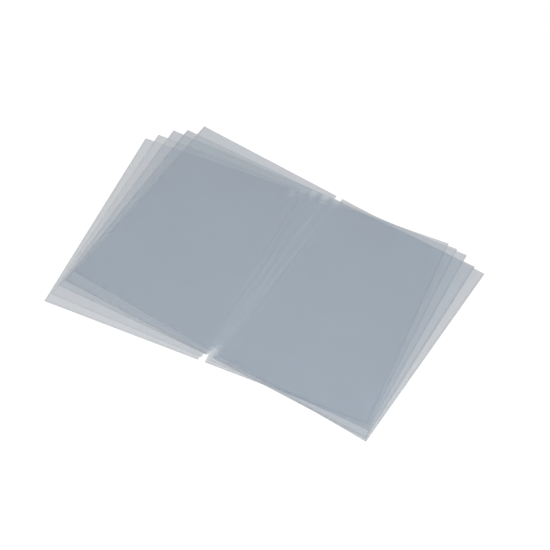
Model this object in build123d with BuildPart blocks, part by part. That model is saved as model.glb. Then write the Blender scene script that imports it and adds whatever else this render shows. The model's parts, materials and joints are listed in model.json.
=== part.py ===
"""A fanned pile of clear double-page pocket leaves, each folding along its own spine."""

import os
from math import cos, radians, sin

from build123d import *

os.makedirs("parts", exist_ok=True)

# Sizes of one leaf, in millimetres
page_width = 233.0  # spine centre line to the outer edge
page_height = 306.0
spine_width = 13.0  # hinge strip between the two creases
notch_width = 9.0  # cut into both ends of the strip
notch_depth = 14.0
notch_corner = 2.5  # inner corner radius of a notch
film = 0.08  # one sheet of film
pocket_gap = 0.12  # room for paper between the two films of a pocket
foot_weld = 3.0  # width of the weld that closes the bottom of a pocket
edge_weld = 3.0  # width of the weld down the outer edge
inner_weld = 3.5  # width of the weld beside the spine
inner_margin = 6.5  # crease to the inner weld
weld_break = 0.5  # gap between the foot weld and the two that run up from it

# How the leaves lie: each is set out from the one below, bottom leaf first
leaf_gap = 0.17  # air between two leaves
side_step = 2.6  # foot of the spine, across the leaf below
foot_steps = (4.6, 6.4, -0.8, 7.2)  # foot of the spine, along the leaf below
fan_steps = (2.15, 2.5, 2.8, 2.7)  # clockwise turns, in degrees
square_leaf = 3  # the leaf that lies square to the axes

# Sizes that follow
leaf_thickness = 2 * film + pocket_gap
leaf_pitch = leaf_thickness + leaf_gap
pocket_width = page_width - spine_width / 2
pocket_middle = (spine_width + pocket_width) / 2
weld_height = page_height - foot_weld - weld_break
weld_middle = page_height - weld_height / 2
edge_weld_place = page_width - edge_weld / 2
inner_weld_place = spine_width / 2 + inner_margin + inner_weld / 2


def leaf_axes(turn):
    """Directions across and along a leaf that is turned by so many degrees."""
    across = (cos(radians(turn)), sin(radians(turn)))
    along = (-sin(radians(turn)), cos(radians(turn)))
    return across, along


def set_out_leaves():
    """Foot of the spine and turn of every leaf, in the bottom leaf's place."""
    turn = sum(fan_steps[: square_leaf - 1])
    foot = (0.0, 0.0)
    leaves = [(foot, turn)]
    for foot_step, fan_step in zip(foot_steps, fan_steps):
        across, along = leaf_axes(turn)
        foot = tuple(f + side_step * a + foot_step * b for f, a, b in zip(foot, across, along))
        turn -= fan_step
        leaves.append((foot, turn))
    return leaves


def fan_centre(leaves):
    """Middle of the box around every leaf's corners."""
    corners = []
    for foot, turn in leaves:
        across, along = leaf_axes(turn)
        for side in (-1, 1):
            for rise in (0, page_height):
                corners.append([f + side * page_width * a + rise * b for f, a, b in zip(foot, across, along)])
    return [(min(values) + max(values)) / 2 for values in zip(*corners)]


leaves = set_out_leaves()
centre = fan_centre(leaves)

for number, (foot, turn) in enumerate(leaves, start=1):
    across, along = leaf_axes(turn)
    level = (number - 1) * leaf_pitch
    leaf_plane = Plane(
        origin=(foot[0] - centre[0], foot[1] - centre[1], level),
        x_dir=(across[0], across[1], 0),
        z_dir=(0, 0, 1),
    )

    # Spine strip: the hinge band between the pages, with a rounded notch cut into both ends
    with BuildPart() as spine_strip:
        with BuildSketch(leaf_plane):
            with Locations((0, page_height / 2)):
                Rectangle(spine_width, page_height)
            with Locations((0, 0), (0, page_height)):
                RectangleRounded(notch_width, 2 * notch_depth, notch_corner, mode=Mode.SUBTRACT)
        extrude(amount=leaf_thickness)
    spine_strip.part.label = f"leaf_{number}_spine_strip"
    export_step(spine_strip.part, f"parts/leaf_{number}_spine_strip.step")

    for page, side in (("left", -1), ("right", 1)):
        # Back film: the sheet that lies underneath
        with BuildPart() as back_film:
            with BuildSketch(leaf_plane):
                with Locations((side * pocket_middle, page_height / 2)):
                    Rectangle(pocket_width, page_height)
            extrude(amount=film)
        back_film.part.label = f"leaf_{number}_{page}_back_film"
        export_step(back_film.part, f"parts/leaf_{number}_{page}_back_film.step")

        # Welds: three strips that hold the films apart by the pocket's depth, open at the top
        with BuildPart() as welds:
            with BuildSketch(leaf_plane.offset(film)):
                with Locations((side * pocket_middle, foot_weld / 2)):
                    Rectangle(pocket_width, foot_weld)
                with Locations((side * edge_weld_place, weld_middle)):
                    Rectangle(edge_weld, weld_height)
                with Locations((side * inner_weld_place, weld_middle)):
                    Rectangle(inner_weld, weld_height)
            extrude(amount=pocket_gap)
        welds.part.label = f"leaf_{number}_{page}_welds"
        export_step(welds.part, f"parts/leaf_{number}_{page}_welds.step")

        # Front film: the sheet on top, which a page is read through
        with BuildPart() as front_film:
            with BuildSketch(leaf_plane.offset(film + pocket_gap)):
                with Locations((side * pocket_middle, page_height / 2)):
                    Rectangle(pocket_width, page_height)
            extrude(amount=film)
        front_film.part.label = f"leaf_{number}_{page}_front_film"
        export_step(front_film.part, f"parts/leaf_{number}_{page}_front_film.step")
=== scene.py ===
import json
import math

import bpy
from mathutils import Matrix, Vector


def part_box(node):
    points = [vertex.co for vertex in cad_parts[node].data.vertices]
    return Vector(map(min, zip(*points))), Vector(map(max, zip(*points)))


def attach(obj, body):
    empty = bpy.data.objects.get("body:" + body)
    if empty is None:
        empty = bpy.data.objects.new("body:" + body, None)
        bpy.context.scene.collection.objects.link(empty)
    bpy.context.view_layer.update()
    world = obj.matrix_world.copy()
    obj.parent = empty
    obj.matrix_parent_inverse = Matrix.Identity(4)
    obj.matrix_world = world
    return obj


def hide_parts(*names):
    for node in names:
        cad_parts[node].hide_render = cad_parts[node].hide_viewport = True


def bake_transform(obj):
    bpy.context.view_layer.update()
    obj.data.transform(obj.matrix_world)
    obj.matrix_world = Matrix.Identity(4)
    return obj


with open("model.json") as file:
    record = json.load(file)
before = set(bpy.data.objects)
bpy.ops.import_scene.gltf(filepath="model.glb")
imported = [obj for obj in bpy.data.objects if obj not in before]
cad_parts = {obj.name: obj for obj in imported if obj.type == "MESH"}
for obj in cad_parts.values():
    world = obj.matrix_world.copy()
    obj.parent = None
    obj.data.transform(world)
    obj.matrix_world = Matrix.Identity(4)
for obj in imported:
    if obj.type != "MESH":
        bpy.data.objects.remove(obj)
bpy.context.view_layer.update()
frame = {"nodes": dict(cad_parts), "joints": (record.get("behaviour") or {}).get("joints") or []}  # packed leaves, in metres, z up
scene = bpy.context.scene
mm = 0.001
print("frame loaded:", len(frame["nodes"]), "nodes")

# Sizes of one leaf, read from the leaf that lies square to the axes
folds = {j["child"].split("_")[1]: j for j in frame["joints"] if j["name"].endswith("_fold")}
leafNumbers = sorted(folds)
squareLeaf = min(leafNumbers, key=lambda n: abs(folds[n]["axis"][0]))
stripLow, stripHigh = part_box(f"leaf_{squareLeaf}_spine_strip")
backLow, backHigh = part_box(f"leaf_{squareLeaf}_right_back_film")
frontLow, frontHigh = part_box(f"leaf_{squareLeaf}_right_front_film")
leaf = {
    "spineWidth": stripHigh.x - stripLow.x,
    "pocketWidth": backHigh.x - backLow.x,
    "height": backHigh.y - backLow.y,
    "film": backHigh.z - backLow.z,
    "gap": frontLow.z - backHigh.z,
    "thickness": frontHigh.z - backLow.z,
}


def leafPlace(number):
    # foot of the spine on the leaf's underside, and the directions across and along the leaf
    joint = folds[number]
    along = Vector(joint["axis"]).normalized()
    across = Vector((along.y, -along.x, 0))
    crease = Vector(joint["pos_m"])
    foot = crease + across * leaf["spineWidth"] / 2 - along * leaf["height"] / 2
    foot.z -= leaf["thickness"]
    return {"foot": foot, "across": across, "along": along}


def onLeaf(place, u, v, z):
    point = place["foot"] + place["across"] * u + place["along"] * v
    return (point.x, point.y, point.z + z)


# Finishes: every one is a see-through plastic with its own tint, cover and grain
finishes = {}
filmSurface = {
    "ior": 1.49,
    "mottle": 0.03,  # how far the tint wanders, either way
    "mottleEnds": (0.3, 0.7),  # the span of the noise in which it does
    "glossSpread": 0.2,
    "grainDepth": 0.004 * mm,
    "grainShare": 0.3,  # strength of the bump
    "detail": 1,  # octaves of haze and grain
}
grains = {  # roughness, then the sizes of the slow haze and of the fine grain
    "page": (0.3, 90 * mm, 12 * mm),
    "spine": (0.3, 60 * mm, 8 * mm),
    "weld": (0.35, 30 * mm, 4 * mm),
    "edge": (0.4, 30 * mm, 4 * mm),
}


def plasticFinish(name, tint, cover, grainName):
    rough, hazeSize, grainSize = grains[grainName]
    material = bpy.data.materials.new(name)
    material.use_nodes = True
    nodes, links = material.node_tree.nodes, material.node_tree.links
    shader = nodes["Principled BSDF"]
    shader.inputs["Alpha"].default_value = cover
    shader.inputs["IOR"].default_value = filmSurface["ior"]
    spot = nodes.new("ShaderNodeTexCoord")
    haze = nodes.new("ShaderNodeTexNoise")  # slow cloudiness of cast film
    haze.inputs["Scale"].default_value = 1 / hazeSize
    haze.inputs["Detail"].default_value = filmSurface["detail"]
    links.new(spot.outputs["Object"], haze.inputs["Vector"])
    colour = nodes.new("ShaderNodeValToRGB")
    shares = (1 - filmSurface["mottle"], 1 + filmSurface["mottle"])
    for stop, share, end in zip(colour.color_ramp.elements, shares, filmSurface["mottleEnds"]):
        stop.color = (*[min(1, c * share) for c in tint], 1)
        stop.position = end
    links.new(haze.outputs["Fac"], colour.inputs["Fac"])
    links.new(colour.outputs["Color"], shader.inputs["Base Color"])
    gloss = nodes.new("ShaderNodeMapRange")
    gloss.inputs["To Min"].default_value = rough * (1 - filmSurface["glossSpread"])
    gloss.inputs["To Max"].default_value = rough * (1 + filmSurface["glossSpread"])
    links.new(haze.outputs["Fac"], gloss.inputs["Value"])
    links.new(gloss.outputs["Result"], shader.inputs["Roughness"])
    grain = nodes.new("ShaderNodeTexNoise")  # fine orange peel
    grain.inputs["Scale"].default_value = 1 / grainSize
    grain.inputs["Detail"].default_value = filmSurface["detail"]
    links.new(spot.outputs["Object"], grain.inputs["Vector"])
    bump = nodes.new("ShaderNodeBump")
    bump.inputs["Strength"].default_value = filmSurface["grainShare"]
    bump.inputs["Distance"].default_value = filmSurface["grainDepth"]
    links.new(grain.outputs["Fac"], bump.inputs["Height"])
    links.new(bump.outputs["Normal"], shader.inputs["Normal"])
    finishes[name] = material


def faceCover(depth, faces):
    # what one face hides, when so many of them in line have this optical depth
    return 1 - math.exp(-depth / faces)


# Optical depth of each leaf, its own haze; the three upper leaves get more than the two lowest, which paints
# the shade where they lie raised over the pile
leafHazeAndShade = {"1": 0.107, "2": 0.091, "3": 0.165, "4": 0.197, "5": 0.16}
borderShare = {"1": 0.5, "2": 0.5, "3": 0.6, "4": 1.3, "5": 1.0}  # how much its welds and edges show
tints = {
    "film": (0.265, 0.38, 0.503),
    # cut edges of the pages are darker: painted shade along each edge
    "edge": (0.2, 0.27, 0.35),
    "notch": (0.8, 0.84, 0.88),  # painted highlight on the notch rims and cut ends of the strip
    "crease": (0.465, 0.585, 0.715),  # paler along the ridge and the creased sides: a painted highlight
}
addedHaze = {"edge": 0.06, "notch": 0.09}  # what a cut edge adds to its leaf: a darker line along a page edge, painted shade, and a paler one at a notch, painted highlight
pocketFaces, singleFaces = 4, 2  # faces in line: a pocket has two sheets, a strip or a weld is one
for number, depth in leafHazeAndShade.items():
    filmCover = faceCover(depth, pocketFaces)
    edgeShadeCover = faceCover(depth + addedHaze["edge"] * borderShare[number], pocketFaces)
    spineCover = faceCover(depth, singleFaces)
    notchHighlightCover = faceCover(depth + addedHaze["notch"], singleFaces)
    plasticFinish("clearFilm" + number, tints["film"], filmCover, "page")
    plasticFinish("spineFilm" + number, tints["film"], spineCover, "spine")
    plasticFinish("cutFilm" + number, tints["edge"], edgeShadeCover, "edge")
    plasticFinish("cutSpine" + number, tints["notch"], notchHighlightCover, "edge")
    plasticFinish("crease" + number, tints["crease"], spineCover, "edge")

# Welds: tint and optical depth of the flat band, then of its ribs
weldHaze = {
    "foot": ((0.14, 0.155, 0.17), 0.15, (0.78, 0.82, 0.86), 0.37),
    "edge": ((0.18, 0.2, 0.22), 0.156, (0.92, 0.95, 0.98), 0.306),
    "inner": ((0.74, 0.8, 0.88), 0.06, (0.8, 0.86, 0.92), 0.09),
}
for number, share in borderShare.items():
    for weldName, (bandTint, bandDepth, ribTint, ribDepth) in weldHaze.items():
        bandCover = faceCover(bandDepth * share, singleFaces)
        ribCover = faceCover(ribDepth * share, singleFaces)
        plasticFinish(weldName + "Band" + number, bandTint, bandCover, "weld")
        plasticFinish(weldName + "Rib" + number, ribTint, ribCover, "edge")
print("finishes made:", len(finishes))


def meshPiece(name, points, faces, looks, lookNames):
    mesh = bpy.data.meshes.new(name)
    mesh.from_pydata(points, [], faces)
    for lookName in lookNames:
        mesh.materials.append(finishes[lookName])
    mesh.polygons.foreach_set("material_index", looks)
    mesh.update()
    piece = bpy.data.objects.new(name, mesh)
    scene.collection.objects.link(piece)
    return piece


def slab(points, faces, looks, grid, lookAt):
    # grid[j][i] holds a bottom and a top point; adds one closed slab, left open where a cell has no look
    spots = [(i, j) for j in range(len(grid) - 1) for i in range(len(grid[0]) - 1)]
    cells = {spot: lookAt(*spot) for spot in spots if lookAt(*spot) is not None}
    numbers = {}

    def at(spot, up):
        if (spot, up) not in numbers:
            numbers[spot, up] = len(points)
            points.append(grid[spot[1]][spot[0]][up])
        return numbers[spot, up]

    for (i, j), look in cells.items():
        a, b, c, d = (i, j), (i + 1, j), (i + 1, j + 1), (i, j + 1)
        faces += [[at(spot, 1) for spot in (a, b, c, d)], [at(spot, 0) for spot in (d, c, b, a)]]
        looks += [look, look]
        for beside, p, q in (((i, j - 1), a, b), ((i + 1, j), b, c), ((i, j + 1), c, d), ((i - 1, j), d, a)):
            if beside not in cells:
                faces.append([at(p, 0), at(q, 0), at(q, 1), at(p, 1)])
                looks.append(look)


def steps(start, end, count):
    return [start + (end - start) * k / count for k in range(count + 1)]


# Sizes of the welds, ribbed bands pressed between the two sheets of a pocket
weld = {
    "foot": 3 * mm,  # widths of the three bands
    "edge": 3 * mm,
    "inner": 3.5 * mm,
    "margin": 6.5 * mm,  # crease to the inner band
    "apart": 0.5 * mm,  # foot band to the two that run up from it
    "pitch": 4.5 * mm,  # from rib to rib
    "rib": 2.2 * mm,
    "slope": 0.4 * mm,
    "side": 0.5 * mm,
    "low": 0.45,  # heights of band and rib, as shares of the pocket's depth
    "high": 0.96,
}

# Films: two sheets to each pocket, with a cut edge on three sides and the crease on the fourth
filmShape = {
    "edge": 1.1 * mm,
    "bend": 0.9 * mm,  # width of the film that bends when a page folds
    "bendSteps": 6,
    "across": 20,
    "up": 30,
    "swell": 0.04 * mm,
    "swellRise": 1.4,  # above 1, the swell is full before the open mouth
}


def filmLines(side):
    # lines run from the crease out to the edge, finer where the film bends, with one at each side of a weld
    width, bend = leaf["pocketWidth"], filmShape["bend"]
    inner = weld["margin"] + weld["inner"]
    out = steps(0, bend, filmShape["bendSteps"]) + [weld["margin"]]
    out += steps(inner, width - weld["edge"], filmShape["across"]) + [width - filmShape["edge"], width]
    lines = [side * (leaf["spineWidth"] / 2 + d) for d in out]
    return lines if side > 0 else lines[::-1]


def makeFilm(number, page, side, layer):
    place = leafPlace(number)
    us = filmLines(side)
    edge = filmShape["edge"]
    vs = [0, edge] + steps(weld["foot"], leaf["height"] - edge, filmShape["up"]) + [leaf["height"]]
    level = 0 if layer == "back" else leaf["film"] + leaf["gap"]
    outer = len(us) - 2 if side > 0 else 0

    def swell(u, v):
        # the front sheet stands off a little in the middle of its pocket and at the open mouth
        if layer == "back":
            return 0
        reach = (abs(u) - leaf["spineWidth"] / 2) / leaf["pocketWidth"]
        rise = min(1, v / leaf["height"] * filmShape["swellRise"])
        return filmShape["swell"] * math.sin(math.pi * reach) ** 2 * math.sin(math.pi / 2 * rise) ** 2

    def lookAt(i, j):
        # cells on the three cut sides take the darker cut finish: painted shade along the edge
        return 1 if i == outer or j in (0, len(vs) - 2) else 0

    grid = []
    for v in vs:
        row = []
        for u in us:
            z = level + swell(u, v)
            row.append((onLeaf(place, u, v, z), onLeaf(place, u, v, z + leaf["film"])))
        grid.append(row)
    points, faces, looks = [], [], []
    slab(points, faces, looks, grid, lookAt)
    node = f"leaf_{number}_{page}_{layer}_film"
    lookNames = ("clearFilm" + number, "cutFilm" + number)
    return meshPiece("sheet_" + node, points, faces, looks, lookNames), node


def ribRows(length):
    # places along a band, each with 1 where a rib stands
    count = int((length - weld["rib"]) / weld["pitch"])
    start = (length - count * weld["pitch"] - weld["rib"]) / 2
    rows = [(0, 0)]
    for k in range(count + 1):
        foot = start + k * weld["pitch"]
        top = foot + weld["rib"]
        rows += [(foot, 0), (foot + weld["slope"], 1), (top - weld["slope"], 1), (top, 0)]
    return rows + [(length, 0)]


weldLooks = [weldName + part for weldName in weldHaze for part in ("Band", "Rib")]


def makeWelds(number, page, side):
    place = leafPlace(number)
    half = leaf["spineWidth"] / 2
    far = half + leaf["pocketWidth"]
    lowTop = leaf["film"] + leaf["gap"] * weld["low"]
    ribTop = leaf["film"] + leaf["gap"] * weld["high"]
    points, faces, looks = [], [], []

    def band(start, width, length, upright, look):
        rows = ribRows(length)
        columns = [0, weld["side"], width - weld["side"], width]
        grid = []
        for reach, raised in rows:
            row = []
            for c, cross in enumerate(columns):
                z = ribTop if raised and c in (1, 2) else lowTop
                if upright:
                    u, v = start[0] + cross, start[1] + reach
                else:
                    u, v = start[0] + reach, start[1] + width - cross
                row.append((onLeaf(place, u, v, leaf["film"]), onLeaf(place, u, v, z)))
            grid.append(row)
        slab(points, faces, looks, grid, lambda i, j: look + max(rows[j][1], rows[j + 1][1]))

    footStart = half if side > 0 else -far
    band((footStart, 0), weld["foot"], leaf["pocketWidth"], False, weldLooks.index("footBand"))
    rise = weld["foot"] + weld["apart"]
    edgeStart = far - weld["edge"] if side > 0 else -far
    band((edgeStart, rise), weld["edge"], leaf["height"] - rise, True, weldLooks.index("edgeBand"))
    innerStart = half + weld["margin"] if side > 0 else -half - weld["margin"] - weld["inner"]
    band((innerStart, rise), weld["inner"], leaf["height"] - rise, True, weldLooks.index("innerBand"))
    node = f"leaf_{number}_{page}_welds"
    lookNames = [look + number for look in weldLooks]
    return meshPiece("bands_" + node, points, faces, looks, lookNames), node


# Spine strips: the hinge band, with a rounded notch at both ends, a ridge along the middle and creased sides
strip = {
    "notchWidth": 9 * mm,
    "notch": 14 * mm,
    "corner": 2.5 * mm,
    "crease": 1.6 * mm,  # half the width of the ridge
    "ridge": 0.05 * mm,
    "side": 0.7 * mm,
    "edge": 1.5 * mm,
    "arcSteps": 6,
    "up": 30,
}


def notchEnd(u):
    # how far the notch reaches from the page's end, at this place across
    flat = strip["notchWidth"] / 2 - strip["corner"]
    reach = min(max(abs(u) - flat, 0) / strip["corner"], 1)
    return strip["notch"] - strip["corner"] * (1 - math.sqrt(1 - reach * reach))


def stripLines(u):
    # places along the strip: its end, the cut edge, round the notch, then evenly to the other end
    end, edge, height = notchEnd(u), strip["edge"], leaf["height"]
    low = [0, edge, end]
    return low + steps(end + edge, height - end - edge, strip["up"]) + [height - v for v in reversed(low)]


def makeStrip(number):
    place = leafPlace(number)
    half, notchHalf = leaf["spineWidth"] / 2, strip["notchWidth"] / 2
    flat = notchHalf - strip["corner"]
    arc = [flat + strip["corner"] * math.sin(turn) for turn in steps(0, math.pi / 2, strip["arcSteps"])]
    right = [strip["crease"] / 2, strip["crease"]] + arc + [half - strip["side"], half]
    us = [-u for u in reversed(right)] + [0] + right
    columns = []
    for u in us:
        top = leaf["thickness"] + strip["ridge"] * max(0, 1 - abs(u) / strip["crease"])
        columns.append([(onLeaf(place, u, v, 0), onLeaf(place, u, v, top)) for v in stripLines(u)])
    grid = list(zip(*columns))
    last = len(grid) - 2

    def lookAt(i, j):
        middle = abs(us[i] + us[i + 1]) / 2
        ring = min(j, last - j)
        if middle < notchHalf and ring < 2:
            return None  # inside a notch
        if ring == 0 or (middle < notchHalf and ring == 2):
            return 1  # cut edge, with a painted highlight
        # the ridge and the creased sides take the paler finish: a painted highlight
        onRidge, onCrease = middle < strip["crease"], middle > half - strip["side"]
        return 2 if onRidge or onCrease else 0

    points, faces, looks = [], [], []
    slab(points, faces, looks, grid, lookAt)
    node = f"leaf_{number}_spine_strip"
    lookNames = ("spineFilm" + number, "cutSpine" + number, "crease" + number)
    return meshPiece("hinge_" + node, points, faces, looks, lookNames), node


# Leaves: right pages and strips ride on their body, left pages stay where they are made
for number in leafNumbers:
    right, left = f"leaf_{number}_right", f"leaf_{number}_left"
    place = leafPlace(number)
    half = leaf["spineWidth"] / 2
    bendStart = onLeaf(place, -half, leaf["height"] / 2, leaf["thickness"])
    bendEnd = onLeaf(place, -half - filmShape["bend"], leaf["height"] / 2, leaf["thickness"])
    made = [(*makeStrip(number), right, "spine_film")]
    for page, side, body in (("left", -1, left), ("right", 1, right)):
        made.append((*makeFilm(number, page, side, "back"), body, "clear_film"))
        made.append((*makeWelds(number, page, side), body, "weld"))
        made.append((*makeFilm(number, page, side, "front"), body, "clear_film"))
    for piece, node, body, slotName in made:
        if body == left:
            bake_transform(piece)
        else:
            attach(piece, body)
        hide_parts(node)
    print("leaf", number, "made:", len(made), "pieces")


def mathNode(owner, operation, first, second):
    node = owner.node_tree.nodes.new("ShaderNodeMath")
    node.operation = operation
    for socket, value in zip(node.inputs, (first, second)):
        if isinstance(value, (int, float)):
            socket.default_value = value
        else:
            owner.node_tree.links.new(value, socket)
    return node.outputs[0]


def seenRay(owner):
    # 1 for what the camera sees, straight on, mirrored or through clear plastic
    path = owner.node_tree.nodes.new("ShaderNodeLightPath").outputs
    mirrored = mathNode(owner, "MAXIMUM", path["Is Glossy Ray"], path["Is Transmission Ray"])
    return mathNode(owner, "MAXIMUM", mirrored, path["Is Camera Ray"])


# Floor: white where it is seen bare; seen through the leaves it glows less and looks pale grey, a painted
# shade under the pile; it also takes their real shadow
floorLook = {"size": 40.0, "below": 0.2 * mm, "paint": (0.445, 0.45, 0.463), "through": 0.25, "bare": 0.66}
bpy.ops.mesh.primitive_plane_add(size=floorLook["size"], location=(0, 0, -floorLook["below"]))
floor = bpy.context.object
floor.name = "floor"
paint = bpy.data.materials.new("floorPaint")
paint.use_nodes = True
nodes, links = paint.node_tree.nodes, paint.node_tree.links
nodes.clear()
output = nodes.new("ShaderNodeOutputMaterial")
matt = nodes.new("ShaderNodeBsdfDiffuse")
matt.inputs["Color"].default_value = (*floorLook["paint"], 1)
glow = nodes.new("ShaderNodeEmission")
total = nodes.new("ShaderNodeAddShader")
facesPassed = nodes.new("ShaderNodeLightPath").outputs["Transparent Depth"]
outsidePaintedShade = mathNode(paint, "LESS_THAN", facesPassed, 0.5)  # 1 where no leaf lies over the floor; under a leaf the floor glows less, a painted shade under the pile
glowOutsideShade = mathNode(paint, "MULTIPLY", outsidePaintedShade, floorLook["bare"] - floorLook["through"])
floorGlow = mathNode(paint, "ADD", glowOutsideShade, floorLook["through"])
links.new(mathNode(paint, "MULTIPLY", seenRay(paint), floorGlow), glow.inputs["Strength"])
links.new(matt.outputs[0], total.inputs[0])
links.new(glow.outputs[0], total.inputs[1])
links.new(total.outputs[0], output.inputs["Surface"])
floor.data.materials.append(paint)

# Light: an even sky, which the camera sees as pale as the far floor, and one soft box in front
skyLook = {"light": 0.55, "seen": 0.91}
world = bpy.data.worlds.new("evenSky")
scene.world = world
world.use_nodes = True
sky = world.node_tree.nodes["Background"]
sky.inputs["Color"].default_value = (1, 1, 1, 1)
seenSky = mathNode(world, "MULTIPLY", seenRay(world), skyLook["seen"] - skyLook["light"])
world.node_tree.links.new(mathNode(world, "ADD", seenSky, skyLook["light"]), sky.inputs["Strength"])

boxLamp = {"power": 21, "size": (1.4, 1.1), "place": (0.56, -1.05, 1.4)}  # faces the middle of the pile
lamp = bpy.data.lights.new("frontBox", "AREA")
lamp.energy = boxLamp["power"]
lamp.shape = "RECTANGLE"
lamp.size, lamp.size_y = boxLamp["size"]
holder = bpy.data.objects.new("frontBox", lamp)
holder.location = boxLamp["place"]
holder.rotation_euler = (-Vector(boxLamp["place"])).to_track_quat("-Z", "Y").to_euler()
scene.collection.objects.link(holder)
print("floor and light ready")

# Camera: the photograph's own view
view = {
    "azimuth": 28.231,
    "elevation": 56.249,
    "distance": 1.97843,
    "target": (0.01371, 0.00204, 0),
    "lens": 95.296,
    "sensor": 36,
}
azimuth, elevation = math.radians(view["azimuth"]), math.radians(view["elevation"])
outward = math.cos(elevation)
back = Vector((math.sin(azimuth) * outward, -math.cos(azimuth) * outward, math.sin(elevation)))
lens = bpy.data.cameras.new("camera")
lens.lens = view["lens"]
lens.sensor_width = view["sensor"]
camera = bpy.data.objects.new("camera", lens)
camera.location = Vector(view["target"]) + back * view["distance"]
camera.rotation_euler = (-back).to_track_quat("-Z", "Y").to_euler()
scene.collection.objects.link(camera)
scene.camera = camera
scene.view_settings.view_transform = "Standard"
scene.cycles.transparent_max_bounces = 96  # five leaves have up to thirty see-through faces in line
print("camera ready")
